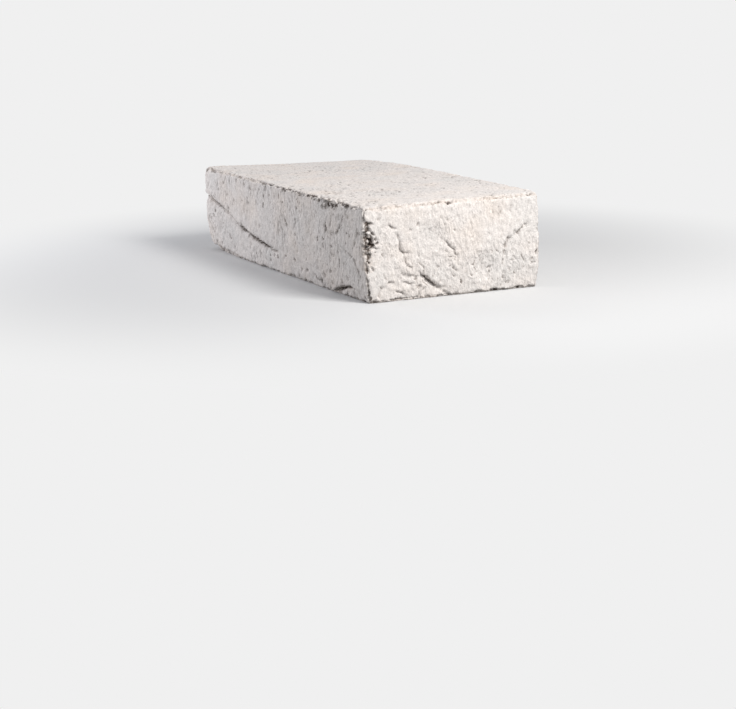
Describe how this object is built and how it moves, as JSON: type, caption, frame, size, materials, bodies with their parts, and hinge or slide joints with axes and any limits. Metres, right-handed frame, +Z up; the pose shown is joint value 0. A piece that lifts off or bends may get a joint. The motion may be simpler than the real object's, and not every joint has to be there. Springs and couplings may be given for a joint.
{
  "type": "handmade facing brick",
  "caption": "Solid hand-moulded facing brick in pale cream clay, with rolled and chipped arrises and lapped folds on its faces, for laying in mortar as the face of a wall.",
  "frame": {"origin": "middle of the brick's box, on the lower bed", "axes": "+X along the length towards the best header, +Y across the width away from the best stretcher, +Z up from the lower bed to the upper bed"},
  "size_m": [0.2097, 0.1023, 0.0498],
  "materials": {
    "fired_clay": "unglazed sand-faced cream clay, matt and gritty, with darker pits and chips"
  },
  "bodies": {
    "root": {"brick": "fired_clay"}
  },
  "joints": []
}
